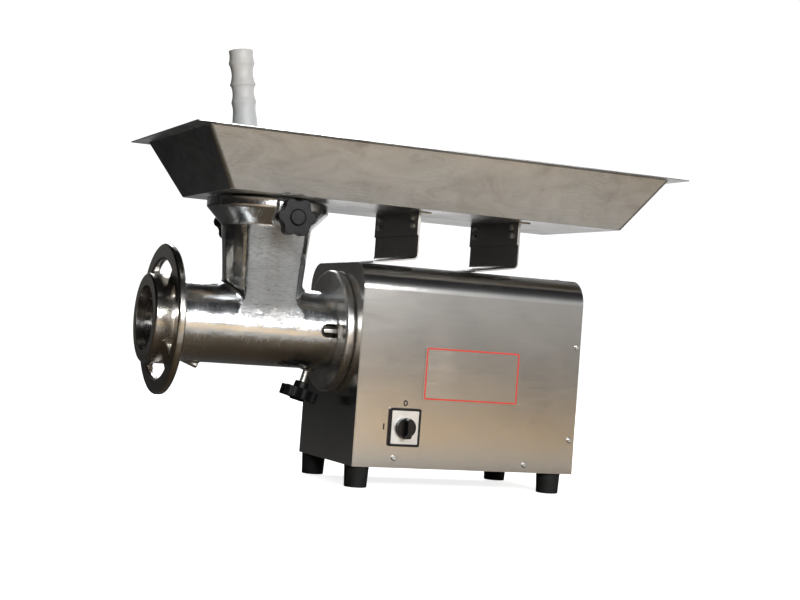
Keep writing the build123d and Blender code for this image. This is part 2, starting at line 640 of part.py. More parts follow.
with BuildPart() as stator_windings:
    for x in (36, CORE_REAR):
        add(ring(x, x + 14, ROTOR_R + 4, 64, MOTOR_Y, MOTOR_Z))
    fillet(stator_windings.edges().filter_by(GeomType.CIRCLE), 4)
save(stator_windings.part, "stator_windings")

rotor_core = ring(CORE_FRONT, CORE_REAR, 12 + SLIP, ROTOR_R, MOTOR_Y, MOTOR_Z)
save(rotor_core, "rotor_core")

motor_shaft = turned(
    ((-47, 0), (-47, MOTOR_SHAFT_R), (34, MOTOR_SHAFT_R), (34, 12), (160, 12), (160, MOTOR_SHAFT_R),
     (207, MOTOR_SHAFT_R), (207, 0)),
    MOTOR_Y, MOTOR_Z)
save(motor_shaft, "motor_shaft")

with BuildPart() as motor_fan:
    add(ring(188, 206, MOTOR_SHAFT_R + SLIP, 15, MOTOR_Y, MOTOR_Z))
    add(ring(188, 190, 14, 60, MOTOR_Y, MOTOR_Z))
    with BuildSketch(across(189)):
        with Locations((MOTOR_Y, MOTOR_Z)):
            with PolarLocations(36, 9):
                Rectangle(46, 2.4)
    extrude(amount=17)
save(motor_fan.part, "motor_fan")

with BuildPart() as fan_cowl:
    add(turned(
        ((CAN_REAR + 4, CAN_R + SLIP), (218, CAN_R + SLIP), (218, 20), (219.5, 20), (219.5, CAN_R + 1.5),
         (CAN_REAR + 4, CAN_R + 1.5)),
        MOTOR_Y, MOTOR_Z))
    with BuildSketch(across(217)):
        with Locations((MOTOR_Y, MOTOR_Z)):
            with PolarLocations(46, 18):
                SlotOverall(40, 5)
    extrude(amount=4, mode=Mode.SUBTRACT)
save(fan_cowl.part, "fan_cowl")

with BuildPart() as motor_cradle:
    for x in (50, 130):
        with BuildSketch(across(x)):
            with Locations((0, BOX_BOTTOM + BASE_THICK)):
                Rectangle(110, 26, align=(Align.CENTER, Align.MIN))
            with Locations((MOTOR_Y, MOTOR_Z)):
                Circle(CAN_R + SLIP, mode=Mode.SUBTRACT)
        extrude(amount=3)
    with Locations((91.5, 0, BOX_BOTTOM + BASE_THICK)):
        Box(80, 110, 3, align=(Align.CENTER, Align.CENTER, Align.MIN))
save(motor_cradle.part, "motor_cradle")

CAP_Y, CAP_Z, CAP_R = -85.0, 52.5, 17.0
with BuildPart() as capacitor:
    add(ring(60, 130, 0, CAP_R, CAP_Y, CAP_Z))
    fillet(capacitor.edges().filter_by(GeomType.CIRCLE), 2)
save(capacitor.part, "capacitor")

with BuildPart() as capacitor_clip:
    with BuildSketch(across(88)):
        with Locations((CAP_Y, CAP_Z)):
            Circle(CAP_R + 1)
        with Locations((CAP_Y, BOX_BOTTOM + BASE_THICK)):
            Rectangle(30, CAP_Z - BOX_BOTTOM - BASE_THICK - 8, align=(Align.CENTER, Align.MIN))
        with Locations((CAP_Y, CAP_Z)):
            Circle(CAP_R + SLIP, mode=Mode.SUBTRACT)
    extrude(amount=14)
save(capacitor_clip.part, "capacitor_clip")

# ---------------------------------------------------------------- grinding head
AXIS = (OUT_Y, OUT_Z)
TOWARDS_FAR = Vector(-sin(radians(FAR_KNOB_TURN)), cos(radians(FAR_KNOB_TURN)), 0)
TOWARDS_NEAR = Vector(0, -1, 0)
DOWN_LOCK = Vector(-sin(radians(LOCK_TILT)), 0, -cos(radians(LOCK_TILT)))
COLLAR_CENTRE = Vector(NECK_X, 0, KNOB_Z)
LOCK_EXIT = Vector(LOCK_X, 0, OUT_Z - BARREL_R)
STUD_R, LOCK_STUD_R = 4.0, 4.5


def knob_plane(direction):
    """The plane of a collar knob's back face, square to its stud."""
    return Plane(origin=COLLAR_CENTRE + direction * KNOB_REACH, x_dir=(direction.Y, -direction.X, 0),
                 z_dir=direction)


NEAR_PLANE = knob_plane(TOWARDS_NEAR)
FAR_PLANE = knob_plane(TOWARDS_FAR)
LOCK_PLANE = Plane(origin=LOCK_EXIT + DOWN_LOCK * 30, x_dir=(0, 1, 0), z_dir=DOWN_LOCK)

with BuildPart() as grinder_head:
    add(ring(BARREL_FRONT, TAIL_END, 0, BARREL_R, *AXIS))
    with BuildSketch(Plane(origin=(NECK_X, 0, 0), x_dir=(1, 0, 0), z_dir=(0, -1, 0))):
        with BuildLine():
            Polyline((0, OUT_Z), *NECK_PROFILE, (0, COLLAR_TOP), close=True)
        make_face()
    revolve(axis=Axis((NECK_X, 0, 0), (0, 0, 1)))
    fillet(grinder_head.edges().filter_by(GeomType.BSPLINE), 7)
    fillet(grinder_head.edges().filter_by(GeomType.CIRCLE).filter_by(
        lambda edge: abs(edge.radius - NECK_PROFILE[-1][0]) < 0.1), 2.5)
    for plane in (NEAR_PLANE, FAR_PLANE):
        up = 1 if plane.y_dir.Z > 0 else -1
        with BuildSketch(plane.offset(BOSS_REACH - KNOB_REACH)):
            Circle(BOSS_R)
            with Locations((0, up * (COLLAR_TOP - 4 - KNOB_Z) / 2)):
                Rectangle(2 * BOSS_R, COLLAR_TOP - 4 - KNOB_Z)
        extrude(amount=60 - BOSS_REACH)
    with BuildSketch(LOCK_PLANE.offset(-27)):
        Circle(11)
    extrude(amount=-8, taper=-8)
    lug = Plane(origin=(-320, 0, OUT_Z - BARREL_R + 3), x_dir=(0, 1, 0), z_dir=(23, 0, -9))
    with BuildSketch(lug):
        Circle(4)
    extrude(amount=24)
    with BuildSketch(across(BARREL_FRONT)):
        with Locations(AXIS):
            Circle(BARREL_BORE)
    extrude(amount=BARREL_END - BARREL_FRONT, mode=Mode.SUBTRACT)
    with BuildSketch(Plane.XY.offset(OUT_Z)):
        with Locations((NECK_X, 0)):
            Circle(NECK_BORE)
    extrude(amount=COLLAR_TOP - OUT_Z, mode=Mode.SUBTRACT)
    with BuildSketch(Plane.XY.offset(LEDGE_Z)):
        with Locations((NECK_X, 0)):
            Circle(LEDGE_R)
    extrude(amount=COLLAR_TOP - LEDGE_Z, mode=Mode.SUBTRACT)
    with BuildSketch(across(BARREL_END)):
        with Locations(AXIS):
            Circle(BUSH_R + SLIP)
    extrude(amount=SOCKET_FRONT - BARREL_END, mode=Mode.SUBTRACT)
    with BuildSketch(across(SOCKET_FRONT)):
        with Locations(AXIS):
            Circle(NOSE_R + RUN)
    extrude(amount=TAIL_END - SOCKET_FRONT, mode=Mode.SUBTRACT)
    with BuildSketch(Plane.XZ):
        with Locations((TAIL_END, OUT_Z)):
            SlotOverall(2 * 24, KEY_SLOT_TALL)
    extrude(amount=BARREL_R + 1, mode=Mode.SUBTRACT)
    add(ring(-140, -139, BARREL_R - 0.8, BARREL_R + 1, *AXIS), mode=Mode.SUBTRACT)
    for plane in (NEAR_PLANE, FAR_PLANE):
        with BuildSketch(plane):
            Circle(STUD_R + RUN)
        extrude(amount=LEDGE_R - KNOB_REACH - 2, mode=Mode.SUBTRACT)
    with BuildSketch(LOCK_PLANE):
        Circle(LOCK_STUD_R + RUN)
    extrude(amount=-48, mode=Mode.SUBTRACT)
    with BuildSketch(Plane(origin=(-360, 0, OUT_Z), x_dir=(1, 0, 0), z_dir=(0, 0, 1))):
        Circle(2 + SLIP)
    extrude(amount=BARREL_R + 1, mode=Mode.SUBTRACT)
save(grinder_head.part, "grinder_head")

shaft_bush = ring(BARREL_END, SOCKET_FRONT, JOURNAL_R + RUN, BUSH_R, *AXIS)
save(shaft_bush, "shaft_bush")

collar_knob_near = star_knob(NEAR_PLANE, KNOB_R, 18, 9)
save(collar_knob_near, "collar_knob_near")
collar_knob_far = star_knob(FAR_PLANE, KNOB_R, 18, 9)
save(collar_knob_far, "collar_knob_far")
lock_knob = star_knob(LOCK_PLANE, LOCK_KNOB_R, 15, 10)
save(lock_knob, "lock_knob")
collar_stud_near = stud(NEAR_PLANE, TUBE_R + REST - KNOB_REACH, 9, STUD_R)
save(collar_stud_near, "collar_stud_near")
collar_stud_far = stud(FAR_PLANE, TUBE_R + REST - KNOB_REACH, 9, STUD_R)
save(collar_stud_far, "collar_stud_far")
lock_stud = stud(LOCK_PLANE, -41, 8, LOCK_STUD_R)
save(lock_stud, "lock_stud")

# ---------------------------------------------------------------- cutting set and ring nut
PLATE_FRONT = NUT_LIP + REST
PLATE_REAR = PLATE_FRONT + PLATE_THICK
KNIFE_FRONT, KNIFE_REAR = PLATE_REAR + REST, -345.0

with BuildPart() as hole_plate:
    with BuildSketch(across(PLATE_FRONT)):
        with Locations(AXIS):
            Circle(PLATE_R)
            Circle(6 + RUN, mode=Mode.SUBTRACT)
            for row_radius, holes in ((14, 6), (24, 12), (34, 18)):
                with PolarLocations(row_radius, holes):
                    Circle(4, mode=Mode.SUBTRACT)
        with Locations((0, OUT_Z + PLATE_R)):
            Rectangle(4.3, 8, mode=Mode.SUBTRACT)
    extrude(amount=PLATE_THICK)
save(hole_plate.part, "hole_plate")

with BuildPart() as plate_pin:
    with BuildSketch(Plane(origin=(-360, 0, OUT_Z + PLATE_R - 3), x_dir=(1, 0, 0), z_dir=(0, 0, 1))):
        Circle(2)
    extrude(amount=BARREL_R - PLATE_R + 2.5)
save(plate_pin.part, "plate_pin")

with BuildPart() as knife:
    with BuildSketch(across(KNIFE_FRONT)):
        with Locations(AXIS):
            Circle(16)
            with PolarLocations(0, 4):
                Polygon((0, -7), (46, -3), (46, 6), (0, 9), align=None)
            Rectangle(KNIFE_SQUARE + 0.1, KNIFE_SQUARE + 0.1, mode=Mode.SUBTRACT)
    extrude(amount=KNIFE_REAR - KNIFE_FRONT)
    with BuildSketch(across(KNIFE_REAR)):
        with Locations(AXIS):
            Circle(60)
            Circle(20, mode=Mode.SUBTRACT)
    extrude(amount=-3, mode=Mode.SUBTRACT)
save(knife.part, "knife")

FLIGHT_FRONT, FLIGHT_REAR, CORE_END = -340.0, -172.0, -164.0
with BuildPart() as feed_screw:
    add(ring(KNIFE_REAR, CORE_END, 0, SCREW_CORE_R, *AXIS))
    with BuildLine() as flight_path:
        Helix(PITCH, FLIGHT_REAR - FLIGHT_FRONT, FLIGHT_R, center=(FLIGHT_FRONT, *AXIS), direction=(1, 0, 0))
    outward = (flight_path.line @ 0) - Vector(FLIGHT_FRONT, *AXIS)
    with BuildSketch(Plane(origin=(FLIGHT_FRONT, *AXIS), x_dir=outward, z_dir=outward.cross(Vector(1, 0, 0)))):
        Polygon((12, -4.5), (FLIGHT_R, -2.5), (FLIGHT_R, 2.5), (12, 4.5), align=None)
    sweep(is_frenet=True)
    add(turned(
        ((CORE_END, 0), (CORE_END, SCREW_CORE_R), (-155, 26), (BARREL_END - REST, 26),
         (BARREL_END - REST, JOURNAL_R), (SOCKET_FRONT, JOURNAL_R), (SOCKET_FRONT, 0)),
        *AXIS))
    add(turned(
        ((PLATE_FRONT - 2, 0), (PLATE_FRONT - 2, 5), (PLATE_FRONT - 1, 6), (KNIFE_REAR, 6), (KNIFE_REAR, 0)),
        *AXIS))
    with BuildSketch(across(KNIFE_FRONT)):
        with Locations(AXIS):
            Rectangle(KNIFE_SQUARE, KNIFE_SQUARE)
    extrude(amount=KNIFE_REAR - KNIFE_FRONT)
    with BuildSketch(across(SOCKET_FRONT)):
        with Locations(AXIS):
            Rectangle(TANG, TANG)
    extrude(amount=-110 - SOCKET_FRONT)
save(feed_screw.part, "feed_screw")

with BuildPart() as ring_nut:
    add(turned(
        ((NUT_FRONT, NUT_MOUTH), (NUT_FRONT, NUT_R - 2), (NUT_FRONT + 2, NUT_R), (NUT_REAR - 2, NUT_R),
         (NUT_REAR, NUT_R - 2), (NUT_REAR, BARREL_R + RUN), (NUT_LIP, BARREL_R + RUN), (NUT_LIP, NUT_MOUTH)),
        *AXIS))
save(ring_nut.part, "ring_nut")

with BuildPart() as handwheel:
    add(ring(WHEEL_FRONT, WHEEL_FRONT + WHEEL_THICK, WHEEL_BORE, WHEEL_R, *AXIS))
    fillet(handwheel.edges().filter_by(GeomType.CIRCLE), 3.5)
    with BuildSketch(across(WHEEL_FRONT + 1)):
        with Locations(AXIS):
            with PolarLocations((NUT_R + WHEEL_BORE) / 2, 4, start_angle=45):
                Rectangle(WHEEL_BORE - NUT_R + 6, 26)
            Circle(NUT_R, mode=Mode.SUBTRACT)
    extrude(amount=WHEEL_THICK - 2)
save(handwheel.part, "handwheel")

# ---------------------------------------------------------------- tray
WALL_RUN = SHEET * 1.25     # the slanted walls' thickness, measured level


def tray_face(z, limits, inset, corner):
    """A rounded rectangle at height z, from (low x, high x, half width), drawn in by inset."""
    low, high, half = limits
    with BuildSketch(Plane.XY.offset(z)) as face:
        with Locations(((low + high) / 2, 0)):
            RectangleRounded(high - low - 2 * inset, 2 * (half - inset), corner)
    return face.sketch


with BuildPart() as feed_tray:
    loft([tray_face(TRAY_BOTTOM, TRAY_FLOOR, 0, TRAY_CORNER).face(),
          tray_face(TRAY_RIM, TRAY_MOUTH, 0, TRAY_CORNER).face()])
    extrude(tray_face(TRAY_RIM - SHEET, TRAY_EDGE, 0, 4), amount=SHEET)
    loft([tray_face(TRAY_BOTTOM + SHEET, TRAY_FLOOR, WALL_RUN - 0.9, TRAY_CORNER - SHEET).face(),
          tray_face(TRAY_RIM, TRAY_MOUTH, WALL_RUN, TRAY_CORNER - SHEET).face()], mode=Mode.SUBTRACT)
    with BuildSketch(Plane.XY.offset(TRAY_BOTTOM)):
        with Locations((NECK_X, 0)):
            Circle(TUBE_BORE)
    extrude(amount=SHEET, mode=Mode.SUBTRACT)
save(feed_tray.part, "feed_tray")

with BuildPart() as tray_tube:
    with BuildSketch(Plane.XY.offset(TUBE_END)):
        with Locations((NECK_X, 0)):
            Circle(TUBE_R)
            Circle(TUBE_BORE, mode=Mode.SUBTRACT)
    extrude(amount=TRAY_BOTTOM - TUBE_END)
save(tray_tube.part, "tray_tube")

BRACKET_FIXINGS = [(y, z) for y in (-62, 62) for z in (375, 387)]


def upper_bracket(x):
    """The bracket plate that is welded under the tray, with its flange against the tray's floor."""
    with BuildPart() as plate:
        with BuildSketch(across(x - BRACKET_THICK)):
            with Locations((0, TRAY_BOTTOM)):
                Rectangle(2 * BRACKET_HALF, TRAY_BOTTOM - BRACKET_SEAM, align=(Align.CENTER, Align.MAX))
        extrude(amount=BRACKET_THICK)
        with Locations((x, 0, TRAY_BOTTOM)):
            Box(BRACKET_FLANGE, 2 * BRACKET_HALF, BRACKET_THICK, align=(Align.MIN, Align.CENTER, Align.MAX))
        with BuildSketch(across(x - BRACKET_THICK)):
            with Locations(*BRACKET_FIXINGS):
                Circle(BRACKET_BOLT_R + SLIP)
        extrude(amount=BRACKET_THICK, mode=Mode.SUBTRACT)
    return plate.part


def lower_bracket(x):
    """The sprung plate that is bolted behind the upper one and rests its foot on the housing."""
    middle = x + BRACKET_THICK / 2
    with BuildPart() as plate:
        with BuildSketch(Plane.XZ.offset(-BRACKET_HALF)):
            with BuildLine():
                FilletPolyline((middle, 392), (middle, BRACKET_BEND + 1),
                               (middle - BRACKET_FOOT, BOX_TOP + REST + 1.1), radius=7)
            trace(line_width=BRACKET_THICK)
        extrude(amount=2 * BRACKET_HALF)
        with BuildSketch(across(x)):
            with Locations(*BRACKET_FIXINGS):
                Circle(BRACKET_BOLT_R + SLIP)
        extrude(amount=BRACKET_THICK, mode=Mode.SUBTRACT)
    return plate.part


for place, x in zip(("front", "rear"), BRACKET_X):
    save(upper_bracket(x), f"bracket_{place}_upper")
    save(lower_bracket(x), f"bracket_{place}_lower")

with BuildPart() as bracket_bolts:
    for x in BRACKET_X:
        for y, z in BRACKET_FIXINGS:
            with BuildSketch(across(x - BRACKET_THICK - 3.5)):
                with Locations((y, z)):
                    RegularPolygon(4.6, 6)
            extrude(amount=3.5)
            with BuildSketch(across(x - BRACKET_THICK)):
                with Locations((y, z)):
                    Circle(BRACKET_BOLT_R)
            extrude(amount=2 * BRACKET_THICK + 6)
            with BuildSketch(across(x + BRACKET_THICK)):
                with Locations((y, z)):
                    RegularPolygon(4.6, 6)
            extrude(amount=4)
save(bracket_bolts.part, "bracket_bolts")

# ---------------------------------------------------------------- pusher
PUSHER_AXIS = Vector(-sin(radians(PUSHER_LEAN)), 0, cos(radians(PUSHER_LEAN)))
PUSHER_LONG = (PUSHER_TOP_Z - PUSHER_BOTTOM_Z) / PUSHER_AXIS.Z
PUSHER_FOOT = Vector(PUSHER_TOP_X, 0, PUSHER_TOP_Z) - PUSHER_AXIS * PUSHER_LONG

with BuildPart() as pusher:
    with BuildSketch(Plane(origin=PUSHER_FOOT, x_dir=(cos(radians(PUSHER_LEAN)), 0, sin(radians(PUSHER_LEAN))),
                           z_dir=(0, -1, 0))):
        top = PUSHER_LONG
        with BuildLine():
            Polyline((0, 0), (28, 0), (30, 2), (30, 30), (17.5, 48), (17.5, top - 100))
            Line((17.5, top - 100), (16, top - 86))
            ThreePointArc((16, top - 86), (16.4, top - 80), (17.7, top - 73.6))
            ThreePointArc((17.7, top - 73.6), (15.2, top - 62), (16.6, top - 51.5))
            Line((16.6, top - 51.5), (18.5, top - 49.5))
            ThreePointArc((18.5, top - 49.5), (15.1, top - 36), (18.4, top - 19))
            ThreePointArc((18.4, top - 19), (16.6, top - 10), (17.3, top - 1.5))
            Polyline((17.3, top - 1.5), (15.8, top), (0, top), (0, 0))
        make_face()
    revolve(axis=Axis(PUSHER_FOOT, PUSHER_AXIS))
save(pusher.part, "pusher")
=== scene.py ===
import json
import math

import bmesh
import bpy
from mathutils import Matrix, Vector, noise


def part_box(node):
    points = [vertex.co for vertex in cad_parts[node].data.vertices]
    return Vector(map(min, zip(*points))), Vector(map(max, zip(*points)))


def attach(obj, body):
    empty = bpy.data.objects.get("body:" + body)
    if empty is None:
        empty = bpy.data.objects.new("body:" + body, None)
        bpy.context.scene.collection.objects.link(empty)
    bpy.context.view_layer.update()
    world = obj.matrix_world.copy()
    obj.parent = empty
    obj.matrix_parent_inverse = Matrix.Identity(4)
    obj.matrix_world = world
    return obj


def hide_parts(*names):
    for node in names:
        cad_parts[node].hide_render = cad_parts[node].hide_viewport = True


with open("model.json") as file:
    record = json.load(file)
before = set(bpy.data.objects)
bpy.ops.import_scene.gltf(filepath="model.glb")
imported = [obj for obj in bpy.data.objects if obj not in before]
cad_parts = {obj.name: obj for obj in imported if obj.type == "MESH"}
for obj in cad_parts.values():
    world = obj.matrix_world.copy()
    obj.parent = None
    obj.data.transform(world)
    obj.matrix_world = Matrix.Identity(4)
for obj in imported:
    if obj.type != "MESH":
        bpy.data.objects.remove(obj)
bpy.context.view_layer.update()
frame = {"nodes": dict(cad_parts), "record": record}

MM = 0.001
NODES = frame["nodes"]
SLOT_OF = {part["node"]: part["material_slot"] for part in frame["record"]["subparts"]}
BODY_OF = {}
for body_name, members in frame["record"]["behaviour"]["bodies"].items():
    for member in members:
        BODY_OF[member] = body_name

# The grinding head: the barrel lies along X, the neck stands up from it.
AXIS_Z = sum(corner.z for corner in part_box("ring_nut")) / 2
NECK_X = sum(corner.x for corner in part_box("tray_tube")) / 2
BARREL_R = 56.5 * MM
NECK_INNER_R = 53 * MM
FLANK_TOP_Z = 352 * MM          # the rough flanks of the neck end here, under the collar
LEAST_OUT = 4 * MM              # keeps the flank's angle finite in the neck's middle plane

CAMERA_PLACE = (-0.930, -2.1537, 0.2185)
CAMERA_AZIMUTH, CAMERA_ELEVATION, CAMERA_ROLL = 23.45, 1.21, 4.18     # degrees
CAMERA_LENS, CAMERA_SENSOR = 71.55, 36.0                              # mm

# Brightness of the surroundings by direction: X from -1 to 1, then Z from -1 to 1, each on 0..1.
SIDE_STOPS = ((0.0, (0.015, 0.015, 0.015)), (0.34, (0.02, 0.02, 0.02)), (0.56, (0.34, 0.34, 0.34)),
              (0.70, (0.68, 0.69, 0.70)), (0.82, (0.46, 0.465, 0.47)), (1.0, (0.46, 0.46, 0.45)))
HEIGHT_STOPS = ((0.0, (0.30, 0.22, 0.13)), (0.46, (0.55, 0.43, 0.28)), (0.52, (1.0, 1.0, 1.0)),
                (0.60, (1.0, 1.0, 1.0)), (0.68, (0.22, 0.22, 0.23)), (0.78, (0.05, 0.05, 0.055)),
                (1.0, (0.02, 0.02, 0.025)))
SEEN_STRENGTH = 1.1             # the surroundings as the camera sees them: plain white

FLOOR_REACH = 9.0
FLOOR_WHITE = (0.93, 0.93, 0.92)
FLOOR_GLOW = 0.8                # what the camera sees of the floor is lifted by this much near the object
FAR_GLOW = 1.1                  # and by this much where the floor meets the background
REAR_GLOW = 0.5                 # what the floor well behind the object gives off, seen only in reflections
# What the floor throws back, by Y from -1 to 1 m, each on 0..1: warm in front, dark behind the object.
FLOOR_STOPS = ((0.0, (0.84, 0.56, 0.27)), (0.15, (0.82, 0.70, 0.55)), (0.26, (0.78, 0.75, 0.71)),
               (0.34, (0.22, 0.15, 0.07)), (0.46, (0.09, 0.06, 0.03)), (0.62, (0.03, 0.028, 0.025)),
               (1.0, (0.02, 0.02, 0.02)))
FLOOR_REAR_RIGHT = (0.80, 0.78, 0.76)
FLOOR_FAR_FRONT = (0.60, 0.64, 0.70)


# ------------------------------------------------------------------ node helpers
def fill_ramp(node, stops):
    """Give a colour ramp its stops, from (place, (r, g, b)) pairs."""
    ramp = node.color_ramp
    while len(ramp.elements) > 1:
        ramp.elements.remove(ramp.elements[-1])
    for index, (place, colour) in enumerate(stops):
        stop = ramp.elements[0] if index == 0 else ramp.elements.new(place)
        stop.position = place
        stop.color = (*colour, 1)


def remapped(tree, value, start, end, low=0.0, high=1.0):
    """A socket taken from start..end to low..high, and held there outside."""
    node = tree.nodes.new("ShaderNodeMapRange")
    node.inputs["From Min"].default_value = start
    node.inputs["From Max"].default_value = end
    node.inputs["To Min"].default_value = low
    node.inputs["To Max"].default_value = high
    tree.links.new(value, node.inputs["Value"])
    return node.outputs[0]


def ramped(tree, value, stops, interpolation="LINEAR"):
    """A socket from -1 to 1 turned into a colour."""
    node = tree.nodes.new("ShaderNodeValToRGB")
    node.color_ramp.interpolation = interpolation
    fill_ramp(node, stops)
    tree.links.new(remapped(tree, value, -1, 1), node.inputs[0])
    return node.outputs[0]


def product(tree, first, second):
    node = tree.nodes.new("ShaderNodeMath")
    node.operation = "MULTIPLY"
    tree.links.new(first, node.inputs[0])
    tree.links.new(second, node.inputs[1])
    return node.outputs[0]


def colour_mix(tree, amount, first, second, how="MIX"):
    """Mix two colours, each a socket or (r, g, b), by a socket or a number."""
    node = tree.nodes.new("ShaderNodeMix")
    node.data_type = "RGBA"
    node.blend_type = how
    for index, value in ((0, amount), (6, first), (7, second)):
        if hasattr(value, "node"):
            tree.links.new(value, node.inputs[index])
        elif index == 0:
            node.inputs[index].default_value = value
        else:
            node.inputs[index].default_value = (*value, 1)
    return node.outputs[2]


# ------------------------------------------------------------------ camera, light and floor
def make_camera():
    """The camera stands low, in front of the outlet end and a little to the switch side."""
    azimuth, elevation = math.radians(CAMERA_AZIMUTH), math.radians(CAMERA_ELEVATION)
    roll = math.radians(CAMERA_ROLL)
    forward = Vector((math.sin(azimuth) * math.cos(elevation), math.cos(azimuth) * math.cos(elevation),
                      math.sin(elevation)))
    level = Vector((math.cos(azimuth), -math.sin(azimuth), 0))
    upright = level.cross(forward)
    right = level * math.cos(roll) + upright * math.sin(roll)
    up = upright * math.cos(roll) - level * math.sin(roll)
    data = bpy.data.cameras.new("camera")
    data.sensor_width = CAMERA_SENSOR
    data.lens = CAMERA_LENS
    data.clip_end = 40.0
    camera = bpy.data.objects.new("camera", data)
    bpy.context.scene.collection.objects.link(camera)
    turn = Matrix((right, up, -forward)).transposed().to_4x4()
    camera.matrix_world = Matrix.Translation(CAMERA_PLACE) @ turn
    bpy.context.scene.camera = camera
    bpy.context.scene.view_settings.view_transform = "Standard"


def make_world():
    """White to the camera; otherwise bright on the switch side, dim at the outlet end and overhead."""
    world = bpy.data.worlds.new("studio")
    bpy.context.scene.world = world
    world.use_nodes = True
    tree = world.node_tree
    tree.nodes.clear()
    seen = tree.nodes.new("ShaderNodeBackground")
    seen.inputs["Color"].default_value = (1, 1, 1, 1)
    seen.inputs["Strength"].default_value = SEEN_STRENGTH
    lit = tree.nodes.new("ShaderNodeBackground")
    where = tree.nodes.new("ShaderNodeTexCoord")
    axes = tree.nodes.new("ShaderNodeSeparateXYZ")
    tree.links.new(where.outputs["Generated"], axes.inputs[0])
    side = ramped(tree, axes.outputs["X"], SIDE_STOPS, "B_SPLINE")
    height = ramped(tree, axes.outputs["Z"], HEIGHT_STOPS, "B_SPLINE")
    tree.links.new(colour_mix(tree, 1.0, side, height, "MULTIPLY"), lit.inputs["Color"])
    rays = tree.nodes.new("ShaderNodeLightPath")
    choose = tree.nodes.new("ShaderNodeMixShader")
    tree.links.new(rays.outputs["Is Camera Ray"], choose.inputs[0])
    tree.links.new(lit.outputs[0], choose.inputs[1])
    tree.links.new(seen.outputs[0], choose.inputs[2])
    out = tree.nodes.new("ShaderNodeOutputWorld")
    tree.links.new(choose.outputs[0], out.inputs["Surface"])


def area_light(name, place, aim, size, watts, colour=(1, 1, 1)):
    data = bpy.data.lights.new(name, "AREA")
    data.shape = "RECTANGLE"
    data.size, data.size_y = size
    data.energy = watts
    data.color = colour
    light = bpy.data.objects.new(name, data)
    bpy.context.scene.collection.objects.link(light)
    light.location = place
    light.rotation_euler = (Vector(aim) - Vector(place)).to_track_quat("-Z", "Y").to_euler()


def make_lights():
    area_light("key_light", (-0.75, -2.9, 1.15), (-0.1, 0, 0.25), (1.4, 0.55), 44)
    area_light("panel_card", (0.46, -2.4, 0.82), (0.05, 0, 0.25), (0.50, 0.40), 22)
    area_light("rear_fill", (2.2, 1.4, 0.9), (0, 0, 0.3), (0.8, 1.2), 9, (1, 0.94, 0.86))
    area_light("top_light", (0.3, 0.3, 2.6), (0, 0, 0.3), (0.9, 0.9), 7)
    area_light("rear_key", (0.7, 2.7, 2.0), (0, 0, 0.3), (1.8, 0.9), 42)


def make_floor():
    """A plain floor, white to the camera; what it throws back on to the metal changes from place to place."""
    mesh = bpy.data.meshes.new("floor")
    mesh.from_pydata([(-FLOOR_REACH, -FLOOR_REACH, 0), (FLOOR_REACH, -FLOOR_REACH, 0),
                      (FLOOR_REACH, FLOOR_REACH, 0), (-FLOOR_REACH, FLOOR_REACH, 0)], [], [(0, 1, 2, 3)])
    floor = bpy.data.objects.new("floor", mesh)
    bpy.context.scene.collection.objects.link(floor)
    pale = bpy.data.materials.new("floor_pale")
    pale.use_nodes = True
    tree = pale.node_tree
    shader = tree.nodes["Principled BSDF"]
    shader.inputs["Roughness"].default_value = 0.7
    rays = tree.nodes.new("ShaderNodeLightPath")
    where = tree.nodes.new("ShaderNodeTexCoord")
    axes = tree.nodes.new("ShaderNodeSeparateXYZ")
    tree.links.new(where.outputs["Object"], axes.inputs[0])
    x, y = axes.outputs["X"], axes.outputs["Y"]
    rear_right = product(tree, remapped(tree, x, 0.05, 0.45), remapped(tree, y, 0.0, 0.3))
    thrown = colour_mix(tree, rear_right, ramped(tree, y, FLOOR_STOPS), FLOOR_REAR_RIGHT)
    thrown = colour_mix(tree, remapped(tree, y, -3.2, -2.2), FLOOR_FAR_FRONT, thrown)
    tone = colour_mix(tree, rays.outputs["Is Camera Ray"], thrown, FLOOR_WHITE)
    tree.links.new(tone, shader.inputs["Base Color"])
    away = tree.nodes.new("ShaderNodeVectorMath")
    away.operation = "LENGTH"
    tree.links.new(where.outputs["Object"], away.inputs[0])
    seen_glow = remapped(tree, away.outputs["Value"], 0.5, 1.3, FLOOR_GLOW, FAR_GLOW)
    rear_glow = product(tree, remapped(tree, y, 1.0, 2.0, 0.0, REAR_GLOW), remapped(tree, x, 0.3, 1.2))
    glow = tree.nodes.new("ShaderNodeMix")
    tree.links.new(rays.outputs["Is Camera Ray"], glow.inputs[0])
    tree.links.new(rear_glow, glow.inputs[2])
    tree.links.new(seen_glow, glow.inputs[3])
    shader.inputs["Emission Color"].default_value = (1, 1, 1, 1)
    tree.links.new(glow.outputs[0], shader.inputs["Emission Strength"])
    mesh.materials.append(pale)


